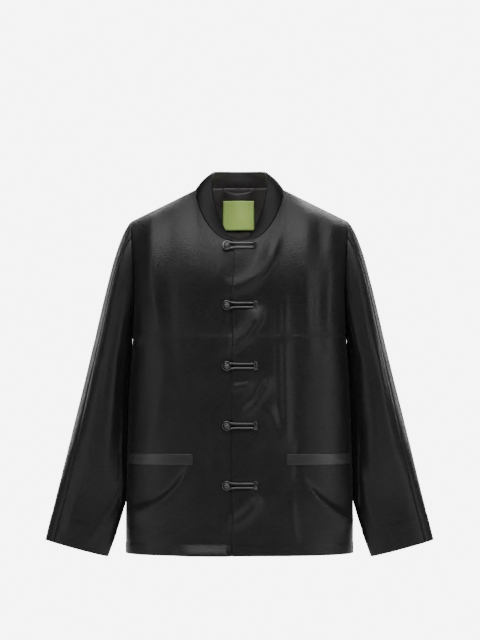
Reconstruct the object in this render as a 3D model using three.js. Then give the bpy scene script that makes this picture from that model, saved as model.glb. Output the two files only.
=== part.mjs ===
import * as THREE from 'three';

// Tang jacket, filled out as if worn. Millimetres, +Z up, the front faces -Y.
// The origin is the centre of the neck, level with the tops of the shoulder seams.
// +X is the wearer's left; "side" is 1 there and -1 on the wearer's right.

const clothWall = 1.8;
const collarWall = 1.2;
const collarLift = 0.012; // share of its height by which the collar clears the neck seam
const liningWall = 1.0;
const seamGap = 0.4; // between the edges of two pieces sewn together
const layerGap = 0.3; // between a piece and what lies on it

const hemLevel = -723.5;
const underarmLevel = -292;
const chestLevel = -185; // where the armhole is widest
const armholeReach = { front: 50, back: 54 };
const neckHalfWidth = 88;
const neckCentreY = -4;
const neckReach = { front: 78, back: 74 };
const neckColumnX = 92; // x, lower down, of the column that ends where neck and shoulder meet
const shoulderTip = new THREE.Vector3(218, 3, -63.5);

const overlap = 14; // how far each front runs past the centre
const overlapFade = 22; // width over which an overlapping front comes back to the body line
const overlapStep = 1.4; // the left front stands out by this much, the right front lies in by it
const neckTurn = THREE.MathUtils.degToRad(39); // tilt of the cloth at the front of the collar seam

const torsoRows = [
  { level: -723.5, halfWidth: 227, frontDepth: 101, backDepth: 96, squareness: 2.6 },
  { level: -634, halfWidth: 227, frontDepth: 100, backDepth: 94, squareness: 2.6 },
  { level: -540, halfWidth: 225, frontDepth: 99, backDepth: 92, squareness: 2.7 },
  { level: -460, halfWidth: 222.5, frontDepth: 99, backDepth: 92, squareness: 2.8 },
  { level: -380, halfWidth: 219.5, frontDepth: 100.5, backDepth: 94, squareness: 3.0 },
  { level: -292, halfWidth: 213, frontDepth: 102, backDepth: 97, squareness: 3.4 },
  { level: -240, halfWidth: 213, frontDepth: 102, backDepth: 100, squareness: 3.55 },
  { level: -185, halfWidth: 214, frontDepth: 100, backDepth: 101, squareness: 3.6 },
];

// Round the neck from centre front (0) to centre back (180): the seam's level, and how far
// the collar's top edge rises above the seam and leans in from it.
const neckRows = [
  { angle: 0, level: -105, rise: 5, lean: 6 },
  { angle: 12, level: -103, rise: 8.5, lean: 14 },
  { angle: 24, level: -97.5, rise: 14.5, lean: 22 },
  { angle: 36, level: -84.5, rise: 21, lean: 27 },
  { angle: 53, level: -58.5, rise: 25.5, lean: 29 },
  { angle: 69, level: -31, rise: 29, lean: 31 },
  { angle: 80, level: -11, rise: 32, lean: 33 },
  { angle: 90, level: 0, rise: 33, lean: 34 },
  { angle: 112, level: 4, rise: 33, lean: 33 },
  { angle: 135, level: 6.5, rise: 32, lean: 31 },
  { angle: 180, level: 8, rise: 31, lean: 28 },
];

// Along the neck and shoulder seams: how far from upright, in degrees, the cloth below lies as
// it reaches the seam, and how strongly it is drawn that way.
const yokeRows = [
  { across: 0, frontPitch: 28, backPitch: 20, frontPull: 1, backPull: 1 },
  { across: 0.5, frontPitch: 38, backPitch: 52, frontPull: 1, backPull: 1.1 },
  { across: 1, frontPitch: 49, backPitch: 97, frontPull: 1, backPull: 1.3 },
  { across: 1.4, frontPitch: 68, backPitch: 92, frontPull: 1, backPull: 1.15 },
  { across: 2, frontPitch: 80, backPitch: 84, frontPull: 1, backPull: 1 },
];

// Down the sleeve from the bicep: its width from inner to outer edge, half its depth from front
// to back, and where its middle lies in y.
const sleeveRows = [
  { drop: 0, width: 78, halfDepth: 72, middleY: 2 },
  { drop: 84, width: 93, halfDepth: 66, middleY: -1 },
  { drop: 157, width: 108, halfDepth: 56, middleY: -4 },
  { drop: 218, width: 121, halfDepth: 44, middleY: -8 },
  { drop: 280, width: 136, halfDepth: 31, middleY: -11 },
  { drop: 332, width: 135, halfDepth: 25.5, middleY: -13 },
  { drop: 391, width: 129, halfDepth: 24, middleY: -14 },
];
const bicepOuter = new THREE.Vector3(293.5, 0, -318);
const sleeveDirection = new THREE.Vector3(0.2385, 0, -0.9711);
const sleeveTilt = 15.1; // degrees that a ring round the sleeve rises towards its outer edge
const overarmSeam = { cap: 36, arm: 43 }; // degrees from the sleeve's outer edge to the front

// The direction in which the sleeve leaves the armhole. "even" holds all round, "cap" is added at
// the cap and taken off at the underarm, and "middle" is added halfway between them, where
// "spread" also turns the cloth forwards or back. "pull" is how strongly it keeps that direction.
const sleeveHead = {
  outward: { even: 0.42, cap: 0.2, middle: 0.36 },
  upward: { even: -0.88, cap: 0.1, middle: 0.39 },
  spread: 0.4,
  pull: 0.6,
};
const chestLean = 0.06; // how far a panel leans outwards as it rises from the chest
const collarBulge = 0.06; // how far the collar swells, as a share of its lean
const collarEndAngle = 1e-9; // both ends lie at angle 0, and this tells them apart

const frogLevels = [-113, -230.5, -350, -467.5, -585];
const frog = {
  cordRadius: 2.2,
  cordSpread: 3.4, // half the distance between the two cords of a loop
  eyeX: -24.5,
  eyeRadius: 8,
  eyeNeckX: -16,
  cordEndX: 28,
  tabWidth: 7,
  tabHeight: 17,
  tabThickness: 3.2,
  tabStand: 0.9,
  knotRadius: 5.3,
};
const welt = { bottom: -545, top: -523, thickness: 1.6, lastColumn: 1.78 };
const label = { left: -34, right: 30, bottom: -77, top: -16.5, thickness: 1, stand: 2.4 };
const hangerLoop = { left: -32, right: 29, level: 3, sag: 9, radius: 1.5, bow: 3, stand: 5 };

const colours = {
  satin: { color: 0x1b1b1c, roughness: 0.42, metalness: 0 },
  lining: { color: 0x2e292c, roughness: 0.5, metalness: 0 },
  label: { color: 0xa4cb52, roughness: 0.6, metalness: 0 },
  cord: { color: 0x1d1d1f, roughness: 0.45, metalness: 0 },
};

const group = new THREE.Group();

// ---- curves ----

function hermite(from, to, slopeFrom, slopeTo, t) {
  const t2 = t * t;
  const t3 = t2 * t;
  return from * (2 * t3 - 3 * t2 + 1) + to * (3 * t2 - 2 * t3)
    + slopeFrom * (t3 - 2 * t2 + t) + slopeTo * (t3 - t2);
}

// A column of a table, read smoothly between its rows.
function tableValue(rows, key, at, column) {
  let i = 0;
  while (i < rows.length - 2 && at > rows[i + 1][key]) i += 1;
  const before = rows[Math.max(i - 1, 0)];
  const low = rows[i];
  const high = rows[i + 1];
  const after = rows[Math.min(i + 2, rows.length - 1)];
  const span = high[key] - low[key];
  const slopeLow = (high[column] - before[column]) / (high[key] - before[key]);
  const slopeHigh = (after[column] - low[column]) / (after[key] - low[key]);
  const t = THREE.MathUtils.clamp((at - low[key]) / span, 0, 1);
  return hermite(low[column], high[column], slopeLow * span, slopeHigh * span, t);
}

function hermitePoint(from, to, slopeFrom, slopeTo, t) {
  return new THREE.Vector3(
    hermite(from.x, to.x, slopeFrom.x, slopeTo.x, t),
    hermite(from.y, to.y, slopeFrom.y, slopeTo.y, t),
    hermite(from.z, to.z, slopeFrom.z, slopeTo.z, t),
  );
}

// ---- the body's surface ----
// "across" runs from -1 at a front's free edge, through 0 at the centre and 1 where the neck
// meets the shoulder, to 2 at the side seam or armhole. "up" runs from 0 at the hem, through
// 1 at the underarm and 2 at the chest, to 3 at the neck and shoulder seams.

function neckPoint(angle) {
  const turn = THREE.MathUtils.degToRad(angle);
  const reach = angle < 90 ? neckReach.front : neckReach.back;
  return new THREE.Vector3(
    neckHalfWidth * Math.sin(turn),
    neckCentreY - reach * Math.cos(turn),
    tableValue(neckRows, 'angle', Math.abs(angle), 'level'),
  );
}

function topPoint(across, face) {
  if (across > 1) return neckPoint(90).lerp(shoulderTip, across - 1);
  if (across < 0) return neckPoint(THREE.MathUtils.radToDeg(Math.asin(across * overlap / neckHalfWidth)));
  return neckPoint(face < 0 ? 90 * across : 180 - 90 * across);
}

function torsoPoint(level, across, face, reach) {
  const halfWidth = tableValue(torsoRows, 'level', level, 'halfWidth');
  const depth = tableValue(torsoRows, 'level', level, face < 0 ? 'frontDepth' : 'backDepth');
  const squareness = tableValue(torsoRows, 'level', level, 'squareness');
  const power = 2 / squareness;
  if (across <= 1) {
    const x = across < 0 ? across * overlap : across * neckColumnX;
    const y = face * depth * (1 - Math.abs(x / halfWidth) ** squareness) ** (1 / squareness);
    return new THREE.Vector3(x, y, level);
  }
  const first = Math.asin((neckColumnX / halfWidth) ** (1 / power));
  const last = Math.acos((reach / depth) ** (1 / power));
  const turn = THREE.MathUtils.lerp(first, last, across - 1);
  const cosine = Math.max(Math.cos(turn), 0);
  return new THREE.Vector3(halfWidth * Math.sin(turn) ** power, face * depth * cosine ** power, level);
}

function bodyPoint(across, up, face) {
  if (up <= 1) return torsoPoint(THREE.MathUtils.lerp(hemLevel, underarmLevel, up), across, face, 0);
  const widest = face < 0 ? armholeReach.front : armholeReach.back;
  if (up <= 2) {
    const turn = (up - 1) * Math.PI / 2;
    const level = chestLevel + (underarmLevel - chestLevel) * Math.cos(turn);
    return torsoPoint(level, across, face, widest * Math.sin(turn));
  }
  const chest = torsoPoint(chestLevel, across, face, widest);
  const top = topPoint(across, face);
  const length = chest.distanceTo(top);
  const half = face < 0 ? 'front' : 'back';
  const pitch = THREE.MathUtils.degToRad(tableValue(yokeRows, 'across', across, `${half}Pitch`));
  const pull = length * tableValue(yokeRows, 'across', across, `${half}Pull`);
  const leave = new THREE.Vector3(0, -chestLean * face, 1).multiplyScalar(length);
  const arrive = new THREE.Vector3(0, -face * Math.sin(pitch), Math.cos(pitch)).multiplyScalar(pull);
  return hermitePoint(chest, top, leave, arrive, up - 2);
}

// Moves a point of a front off the body line where the fronts overlap: straight out or in on
// the body, turning to lie square to the collar seam at the neck.
function shiftOverlap(point, up, side) {
  const near = 1 - THREE.MathUtils.smoothstep(Math.abs(point.x), overlap, overlap + overlapFade);
  const turn = neckTurn * THREE.MathUtils.smoothstep(up, 2, 3);
  point.y -= side * overlapStep * near * Math.cos(turn);
  point.z += side * overlapStep * near * Math.sin(turn);
}

function frontPoint(across, up, side) {
  const point = bodyPoint(across, up, -1);
  shiftOverlap(point, up, side);
  point.x *= side;
  return point;
}

function backPoint(across, up) {
  const point = bodyPoint(Math.abs(across), up, 1);
  point.x *= Math.sign(across);
  return point;
}

// The point of a front or the back at a given x and level, found by halving.
function surfaceAt(x, level, face) {
  let across = 0.5;
  let up = 1;
  for (let pass = 0; pass < 6; pass += 1) {
    up = halve(0, 3, (value) => bodyPoint(across, value, face).z > level);
    across = halve(0, 2, (value) => bodyPoint(value, up, face).x > Math.abs(x));
  }
  const point = bodyPoint(across, up, face);
  point.x *= Math.sign(x) || 1;
  return point;
}

function halve(low, high, isPast) {
  let from = low;
  let to = high;
  for (let i = 0; i < 24; i += 1) {
    const middle = (from + to) / 2;
    if (isPast(middle)) to = middle;
    else from = middle;
  }
  return (from + to) / 2;
}

// ---- the sleeve's surface ----
// "angle" is 0 at the sleeve's outer edge, 90 at the front, 180 at the underarm and 270 at
// the back. "down" is 0 at the armhole, 1 at the bicep and 2 at the cuff.

function armholePoint(angle) {
  const turn = angle > 360 ? angle - 360 : angle;
  const face = turn <= 180 ? -1 : 1;
  const share = face < 0 ? 1 - turn / 180 : turn / 180 - 1;
  return bodyPoint(2, 1 + 2 * share, face);
}

function armPoint(angle, drop) {
  const turn = THREE.MathUtils.degToRad(angle);
  const tilt = THREE.MathUtils.degToRad(sleeveTilt);
  const width = tableValue(sleeveRows, 'drop', drop, 'width');
  const outward = new THREE.Vector3(Math.cos(tilt), 0, Math.sin(tilt));
  const point = bicepOuter.clone().addScaledVector(sleeveDirection, drop);
  point.addScaledVector(outward, (Math.cos(turn) - 1) * width / 2);
  point.y = tableValue(sleeveRows, 'drop', drop, 'middleY')
    - Math.sin(turn) * tableValue(sleeveRows, 'drop', drop, 'halfDepth');
  return point;
}

// Below the cap the over-arm seam runs a little further forward, and the other columns share it.
function armAngle(angle) {
  const shift = overarmSeam.arm - overarmSeam.cap;
  if (angle <= 180) return angle + shift * (180 - angle) / (180 - overarmSeam.cap);
  return angle + shift * (angle - 180) / (180 + overarmSeam.cap);
}

function sleevePoint(angle, down, side) {
  const sleeveLength = sleeveRows[sleeveRows.length - 1].drop;
  const lower = armPoint(armAngle(angle), Math.max(down - 1, 0) * sleeveLength);
  if (down < 1) {
    const armhole = armholePoint(angle);
    const turn = THREE.MathUtils.degToRad(angle);
    const length = armhole.distanceTo(lower);
    const mix = ({ even, cap, middle }) => even + cap * Math.cos(turn) + middle * Math.sin(turn) ** 2;
    const leave = new THREE.Vector3(
      mix(sleeveHead.outward),
      -sleeveHead.spread * Math.sin(turn),
      mix(sleeveHead.upward),
    ).setLength(sleeveHead.pull * length);
    lower.copy(hermitePoint(armhole, lower, leave, sleeveDirection.clone().multiplyScalar(length), down));
  }
  lower.x *= side;
  return lower;
}

// ---- the collar's surface ----

function collarPoint(angle, height) {
  const around = Math.abs(angle);
  const turn = THREE.MathUtils.degToRad(around);
  const point = neckPoint(around);
  const rise = tableValue(neckRows, 'angle', around, 'rise');
  const lean = tableValue(neckRows, 'angle', around, 'lean');
  const bulge = collarBulge * lean * Math.sin(Math.PI * height);
  point.x -= Math.sin(turn) * (lean * height - bulge);
  point.y += Math.cos(turn) * (lean * height - bulge);
  point.z += rise * height + bulge;
  point.x *= Math.sign(angle);
  return point;
}

// ---- cloth walls ----

function steps(from, to, count) {
  return Array.from({ length: count + 1 }, (_, i) => from + (to - from) * i / count);
}

// A panel is a grid of points on the cloth's outer face. Its rows and columns are values of
// the surface's two coordinates, and seamKey names the seam point that an edge point lies on.
function makePanel(surface, columns, rows, seamKey = () => null) {
  const points = rows.map((row) => columns.map((column) => surface(column, row)));
  const keys = rows.map((row) => columns.map((column) => seamKey(column, row)));
  const normals = points.map((line, j) => line.map((_, i) => {
    const right = line[Math.min(i + 1, line.length - 1)].clone().sub(line[Math.max(i - 1, 0)]);
    const above = points[Math.min(j + 1, points.length - 1)][i].clone();
    return right.cross(above.sub(points[Math.max(j - 1, 0)][i])).normalize();
  }));
  return { points, keys, normals };
}

function flipPanel(panel) {
  for (const line of panel.points) line.reverse();
  for (const line of panel.keys) line.reverse();
  for (const line of panel.normals) {
    line.reverse();
    for (const normal of line) normal.negate();
  }
  return panel;
}

// Pieces that meet at a seam turn their walls the same way there.
function shareSeamNormals(panels) {
  const sums = new Map();
  const visit = (action) => {
    for (const panel of panels) {
      panel.keys.forEach((line, j) => line.forEach((key, i) => {
        if (key !== null) action(key, panel.normals[j][i]);
      }));
    }
  };
  visit((key, normal) => sums.set(key, (sums.get(key) ?? new THREE.Vector3()).add(normal)));
  visit((key, normal) => normal.copy(sums.get(key)).normalize());
}

// Draws the panel's edges in by half a seam gap, square to each edge.
function insetPoints({ points, normals }) {
  const last = points.length - 1;
  const end = points[0].length - 1;
  return points.map((line, j) => line.map((point, i) => {
    const step = new THREE.Vector3();
    const along = line[Math.min(i + 1, end)].clone().sub(line[Math.max(i - 1, 0)]);
    const upward = points[Math.min(j + 1, last)][i].clone().sub(points[Math.max(j - 1, 0)][i]);
    if (i === 0) step.add(upward.cross(normals[j][i]).normalize());
    if (i === end) step.sub(upward.cross(normals[j][i]).normalize());
    if (j === 0) step.sub(along.cross(normals[j][i]).normalize());
    if (j === last) step.add(along.cross(normals[j][i]).normalize());
    return point.clone().addScaledVector(step, seamGap / 2);
  }));
}

// A closed wall: its outer face lies "depth" inside the panel, its inner face "wall" deeper.
function wallGeometry(panel, depth, wall) {
  const rows = panel.points.length;
  const columns = panel.points[0].length;
  const outer = insetPoints(panel);
  const positions = [];
  for (const offset of [depth, depth + wall]) {
    outer.forEach((line, j) => line.forEach((point, i) => {
      const placed = point.clone().addScaledVector(panel.normals[j][i], -offset);
      positions.push(placed.x, placed.y, placed.z);
    }));
  }
  const indices = [];
  const at = (layer, j, i) => (layer * rows + j) * columns + i;
  const quad = (a, b, c, d) => indices.push(a, b, c, a, c, d);
  for (let j = 0; j < rows - 1; j += 1) {
    for (let i = 0; i < columns - 1; i += 1) {
      quad(at(0, j, i), at(0, j, i + 1), at(0, j + 1, i + 1), at(0, j + 1, i));
      quad(at(1, j, i), at(1, j + 1, i), at(1, j + 1, i + 1), at(1, j, i + 1));
    }
    quad(at(0, j, 0), at(0, j + 1, 0), at(1, j + 1, 0), at(1, j, 0));
    quad(at(0, j + 1, columns - 1), at(0, j, columns - 1), at(1, j, columns - 1), at(1, j + 1, columns - 1));
  }
  for (let i = 0; i < columns - 1; i += 1) {
    quad(at(0, 0, i + 1), at(0, 0, i), at(1, 0, i), at(1, 0, i + 1));
    quad(at(0, rows - 1, i), at(0, rows - 1, i + 1), at(1, rows - 1, i + 1), at(1, rows - 1, i));
  }
  const geometry = new THREE.BufferGeometry();
  geometry.setAttribute('position', new THREE.Float32BufferAttribute(positions, 3));
  geometry.setIndex(indices);
  return geometry;
}

function addPiece(name, geometry, finish) {
  const mesh = new THREE.Mesh(geometry, new THREE.MeshStandardMaterial(colours[finish]));
  mesh.name = name;
  group.add(mesh);
  return mesh;
}

// ---- stations of the grids ----

function upAtLevel(level) {
  return (level - hemLevel) / (underarmLevel - hemLevel);
}

const bodyRows = [
  ...[hemLevel, -634, welt.bottom, welt.top, -440, -365].map(upAtLevel),
  ...steps(1, 3, 10),
];
const frontColumns = [-1, ...steps(0, 1, 8), ...steps(1, 2, 9).slice(1)];
const backHalf = [...steps(0, 1, 6), ...steps(1, 2, 9).slice(1)];
const backColumns = [...backHalf.slice(1).reverse().map((across) => -across), ...backHalf];
const capRows = [0, 0.12, 0.28, 0.5, 0.75];
const sleeveRings = [...capRows, ...steps(1, 2, 7)];
const sleeveStep = 18;

function wearersSide(side) {
  return side > 0 ? 'left' : 'right';
}

// ---- body, sleeves and collar ----

function bodyKey(across, up, face, side) {
  const half = wearersSide(side);
  if (Math.abs(across) === 2) return up < 1 ? `side_${half}:${up.toFixed(3)}` : armholeKey(up, face, half);
  if (up < 3 || across < 0) return null;
  if (across > 1) return `shoulder_${half}:${across.toFixed(3)}`;
  return neckKey(side * (face < 0 ? 90 * across : 180 - 90 * across));
}

function armholeKey(up, face, half) {
  if (up === 1) return `underarm_${half}`;
  if (up === 3) return `tip_${half}`;
  return `armhole_${half}:${face}:${up.toFixed(3)}`;
}

function neckKey(angle) {
  return Math.abs(angle) === 180 ? 'neck:back' : `neck:${angle.toFixed(2)}`;
}

function makeFront(side) {
  const surface = (across, up) => frontPoint(across, up, side);
  const panel = makePanel(surface, frontColumns, bodyRows, (across, up) => bodyKey(across, up, -1, side));
  return side > 0 ? panel : flipPanel(panel);
}

function makeBack() {
  const key = (across, up) => bodyKey(Math.abs(across), up, 1, Math.sign(across) || 1);
  return flipPanel(makePanel(backPoint, backColumns, bodyRows, key));
}

function makeSleevePiece(from, to, side) {
  const angles = steps(from, to, Math.round((to - from) / sleeveStep));
  const surface = (angle, down) => sleevePoint(angle, down, side);
  const half = wearersSide(side);
  const key = (angle, down) => {
    const onSeam = angle === from || angle === to;
    if (down > 0) return onSeam ? `seam_${half}_${angle % 360}:${down.toFixed(3)}` : null;
    const turn = angle > 360 ? angle - 360 : angle;
    const share = turn <= 180 ? 1 - turn / 180 : turn / 180 - 1;
    return armholeKey(Number((1 + 2 * share).toFixed(6)), turn <= 180 ? -1 : 1, half);
  };
  const panel = makePanel(surface, angles, sleeveRings, key);
  return side > 0 ? panel : flipPanel(panel);
}

function makeCollar() {
  const half = [...steps(0, 90, 8), ...steps(90, 180, 6).slice(1)];
  const ends = half.map((angle) => Math.max(angle, collarEndAngle));
  const around = [...ends.slice(0, -1).map((angle) => -angle), ...ends.slice().reverse()];
  const seamKey = (angle) => neckKey(Math.abs(angle) > collarEndAngle ? angle : 0);
  const key = (angle, height) => (height > collarLift ? null : seamKey(angle));
  return flipPanel(makePanel(collarPoint, around, [collarLift, 0.5, 1], key));
}

// Lining, from the collar seam down to the chest, behind the neck only.
function makeLining() {
  const columns = backColumns.filter((across) => Math.abs(across) < 1);
  const rows = bodyRows.filter((up) => up >= 2);
  const key = (across, up) => (up < 3 ? null : bodyKey(Math.abs(across), up, 1, Math.sign(across) || 1));
  return flipPanel(makePanel(backPoint, columns, rows, key));
}

const panels = {
  front_left: makeFront(1),
  front_right: makeFront(-1),
  back: makeBack(),
};
for (const side of [1, -1]) {
  const half = wearersSide(side);
  panels[`sleeve_${half}_front`] = makeSleevePiece(overarmSeam.cap, 180, side);
  panels[`sleeve_${half}_back`] = makeSleevePiece(180, 360 + overarmSeam.cap, side);
}
const collarPanel = makeCollar();
const liningPanel = makeLining();
shareSeamNormals([...Object.values(panels), collarPanel, liningPanel]);
for (const [name, panel] of Object.entries(panels)) {
  addPiece(name, wallGeometry(panel, 0, clothWall), 'satin');
}
addPiece('collar_outer', wallGeometry(collarPanel, 0, collarWall), 'satin');
addPiece('collar_inner', wallGeometry(collarPanel, collarWall + layerGap, collarWall), 'lining');

// ---- what shows inside the neck ----

const liningDepth = clothWall + 2 * seamGap;
const labelDepth = liningDepth + liningWall + label.stand;

function makeLabel() {
  const surface = (x, level) => surfaceAt(x, level, 1);
  return flipPanel(makePanel(surface, steps(label.left, label.right, 4), steps(label.bottom, label.top, 4)));
}

function makeHangerLoop() {
  const points = steps(-1, 1, 8).map((along) => {
    const x = THREE.MathUtils.lerp(hangerLoop.left, hangerLoop.right, (along + 1) / 2);
    const slack = 1 - along * along;
    const point = surfaceAt(x, hangerLoop.level - hangerLoop.sag * slack, 1);
    point.y -= liningDepth + liningWall + hangerLoop.stand + hangerLoop.bow * slack;
    return point;
  });
  return cordGeometry(points, hangerLoop.radius, 12);
}

// ---- cords, knots and pockets ----

function cordGeometry(points, radius, stepCount) {
  const section = new THREE.Shape();
  section.absarc(0, 0, radius, 0, 2 * Math.PI);
  return new THREE.ExtrudeGeometry(section, {
    steps: stepCount,
    curveSegments: 3,
    extrudePath: new THREE.CatmullRomCurve3(points, false, 'centripetal'),
  });
}

function makeWelt(side) {
  const columns = frontColumns.filter((across) => across >= 1 && across <= welt.lastColumn);
  const surface = (across, level) => frontPoint(across, upAtLevel(level), side);
  const panel = makePanel(surface, columns, [welt.bottom, welt.top]);
  return side > 0 ? panel : flipPanel(panel);
}

// The left front's outer face at a given x and level.
function leftFaceAt(x, level) {
  const point = surfaceAt(x, level, -1);
  shiftOverlap(point, 2, 1);
  return point;
}

// One cord runs from the tab to the eye, round the knot and back.
function makeFrogLoop(level) {
  const { cordRadius, cordSpread, eyeX, eyeRadius, eyeNeckX, cordEndX } = frog;
  const route = [];
  for (const x of steps(cordEndX, eyeNeckX, 5)) route.push([x, cordSpread]);
  for (const turn of steps(45, 315, 8).map(THREE.MathUtils.degToRad)) {
    route.push([eyeX + eyeRadius * Math.cos(turn), eyeRadius * Math.sin(turn)]);
  }
  for (const x of steps(eyeNeckX, cordEndX, 5)) route.push([x, -cordSpread]);
  const points = route.map(([x, rise]) => {
    const point = leftFaceAt(Math.max(x, -overlap), level + rise);
    return new THREE.Vector3(x, point.y - cordRadius - layerGap, level + rise);
  });
  return cordGeometry(points, cordRadius, 22);
}

function makeFrogTab(level) {
  const { cordEndX, tabWidth, tabHeight } = frog;
  const left = cordEndX + layerGap;
  const heights = [-tabHeight / 2, tabHeight / 2];
  const surface = (x, rise) => leftFaceAt(x, level + rise);
  return makePanel(surface, steps(left, left + tabWidth, 2), heights);
}

function makeKnot(level) {
  const geometry = new THREE.SphereGeometry(frog.knotRadius, 8, 6);
  const face = surfaceAt(frog.eyeX, level, -1);
  geometry.rotateX(Math.PI / 2);
  geometry.translate(frog.eyeX, face.y - frog.knotRadius - layerGap, level);
  return geometry;
}

addPiece('back_neck_lining', wallGeometry(liningPanel, liningDepth, liningWall), 'lining');
addPiece('neck_label', wallGeometry(makeLabel(), labelDepth, label.thickness), 'label');
addPiece('hanger_loop', makeHangerLoop(), 'lining');
for (const side of [1, -1]) {
  const geometry = wallGeometry(makeWelt(side), -welt.thickness - layerGap, welt.thickness);
  addPiece(`pocket_welt_${wearersSide(side)}`, geometry, 'satin');
}
frogLevels.forEach((level, i) => {
  addPiece(`frog_loop_${i + 1}`, makeFrogLoop(level), 'cord');
  const tabDepth = -frog.tabThickness - frog.tabStand;
  addPiece(`frog_tab_${i + 1}`, wallGeometry(makeFrogTab(level), tabDepth, frog.tabThickness), 'cord');
  addPiece(`frog_knot_${i + 1}`, makeKnot(level), 'cord');
});

export default group;
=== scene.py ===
import math
import bpy
import bmesh
from mathutils import Matrix, Vector, geometry, noise


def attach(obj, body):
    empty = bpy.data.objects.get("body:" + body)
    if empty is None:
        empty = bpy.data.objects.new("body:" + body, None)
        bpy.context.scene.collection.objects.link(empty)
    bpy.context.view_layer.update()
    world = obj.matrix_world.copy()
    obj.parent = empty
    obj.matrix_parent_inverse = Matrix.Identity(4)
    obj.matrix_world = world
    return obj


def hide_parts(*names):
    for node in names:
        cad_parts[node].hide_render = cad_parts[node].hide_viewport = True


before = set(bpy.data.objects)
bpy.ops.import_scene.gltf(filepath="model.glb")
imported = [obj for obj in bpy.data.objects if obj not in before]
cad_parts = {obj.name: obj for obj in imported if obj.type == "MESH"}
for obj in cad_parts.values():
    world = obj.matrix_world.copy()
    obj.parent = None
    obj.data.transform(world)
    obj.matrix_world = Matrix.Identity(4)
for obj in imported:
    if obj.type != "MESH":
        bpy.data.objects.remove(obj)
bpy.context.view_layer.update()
print("frame loaded:", len(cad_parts), "nodes")

mm = 0.001  # shapes are worked out in millimetres and placed in metres

# The jacket's form, the same sizes as the frame's own. "level" is a height, "angle" runs round
# the neck from centre front, "drop" runs down the sleeve, "across" and "up" cover the body.
hemLevel, underarmLevel, chestLevel = -723.5, -292.0, -185.0
armholeReach = {"front": 50.0, "back": 54.0}
neckSize = {"halfWidth": 88.0, "middleY": -4.0, "front": 78.0, "back": 74.0}
neckColumnX = 92.0
shoulderTip = Vector((218.0, 3.0, -63.5))
overlap = {"reach": 14.0, "fade": 22.0, "step": 1.4, "turn": math.radians(39)}
sideCloth = 160.0  # cloth across from the neck's column to a side seam


def table(columns, *rows):
    return [dict(zip(columns.split(), row)) for row in rows]


torsoRows = table(
    "level halfWidth frontDepth backDepth squareness",
    (-723.5, 227, 101, 96, 2.6),
    (-634, 227, 100, 94, 2.6),
    (-540, 225, 99, 92, 2.7),
    (-460, 222.5, 99, 92, 2.8),
    (-380, 219.5, 100.5, 94, 3.0),
    (-292, 213, 102, 97, 3.4),
    (-240, 213, 102, 100, 3.55),
    (-185, 214, 100, 101, 3.6),
)
neckRows = table(
    "angle level rise lean",
    (0, -105, 5, 6),
    (12, -103, 8.5, 14),
    (24, -97.5, 14.5, 22),
    (36, -84.5, 21, 27),
    (53, -58.5, 25.5, 29),
    (69, -31, 29, 31),
    (80, -11, 32, 33),
    (90, 0, 33, 34),
    (112, 4, 33, 33),
    (135, 6.5, 32, 31),
    (180, 8, 31, 28),
)
yokeRows = table(
    "across frontPitch backPitch frontPull backPull",
    (0, 28, 20, 1, 1),
    (0.5, 38, 52, 1, 1.1),
    (1, 49, 97, 1, 1.3),
    (1.4, 68, 92, 1, 1.15),
    (2, 80, 84, 1, 1),
)
sleeveRows = table(
    "drop width halfDepth middleY",
    (0, 78, 72, 2),
    (84, 93, 66, -1),
    (157, 108, 56, -4),
    (218, 121, 44, -8),
    (280, 136, 31, -11),
    (332, 135, 25.5, -13),
    (391, 129, 24, -14),
)
bicepOuter = Vector((293.5, 0.0, -318.0))
sleeveDirection = Vector((0.2385, 0.0, -0.9711))
sleeveTilt = math.radians(15.1)
sleeveLength = 391.0
overarmSeam = {"cap": 36.0, "arm": 43.0}


def smoothStep(value, low, high):
    t = min(max((value - low) / (high - low), 0.0), 1.0)
    return t * t * (3 - 2 * t)


def hermite(start, end, slopeStart, slopeEnd, t):
    t2, t3 = t * t, t * t * t
    return (start * (2 * t3 - 3 * t2 + 1) + end * (3 * t2 - 2 * t3)
            + slopeStart * (t3 - 2 * t2 + t) + slopeEnd * (t3 - t2))


def tableValue(rows, key, at, column):
    i = 0
    while i < len(rows) - 2 and at > rows[i + 1][key]:
        i += 1
    before, low, high = rows[max(i - 1, 0)], rows[i], rows[i + 1]
    after = rows[min(i + 2, len(rows) - 1)]
    span = high[key] - low[key]
    slopeLow = (high[column] - before[column]) / (high[key] - before[key])
    slopeHigh = (after[column] - low[column]) / (after[key] - low[key])
    t = min(max((at - low[key]) / span, 0.0), 1.0)
    return hermite(low[column], high[column], slopeLow * span, slopeHigh * span, t)


# the body's surface


def neckPoint(angle):
    turn = math.radians(angle)
    reach = neckSize["front"] if angle < 90 else neckSize["back"]
    return Vector((
        neckSize["halfWidth"] * math.sin(turn),
        neckSize["middleY"] - reach * math.cos(turn),
        tableValue(neckRows, "angle", abs(angle), "level"),
    ))


def topPoint(across, face):
    if across > 1:
        return neckPoint(90).lerp(shoulderTip, across - 1)
    if across < 0:
        return neckPoint(math.degrees(math.asin(across * overlap["reach"] / neckSize["halfWidth"])))
    return neckPoint(90 * across if face < 0 else 180 - 90 * across)


def torsoPoint(level, across, face, reach):
    halfWidth = tableValue(torsoRows, "level", level, "halfWidth")
    depth = tableValue(torsoRows, "level", level, "frontDepth" if face < 0 else "backDepth")
    squareness = tableValue(torsoRows, "level", level, "squareness")
    if across <= 1:
        x = across * (overlap["reach"] if across < 0 else neckColumnX)
        return Vector((x, face * depth * (1 - abs(x / halfWidth) ** squareness) ** (1 / squareness), level))
    power = 2 / squareness
    first = math.asin((neckColumnX / halfWidth) ** (1 / power))
    last = math.acos((reach / depth) ** (1 / power))
    turn = first + (last - first) * (across - 1)
    cosine = max(math.cos(turn), 0.0)
    return Vector((halfWidth * math.sin(turn) ** power, face * depth * cosine ** power, level))


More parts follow.
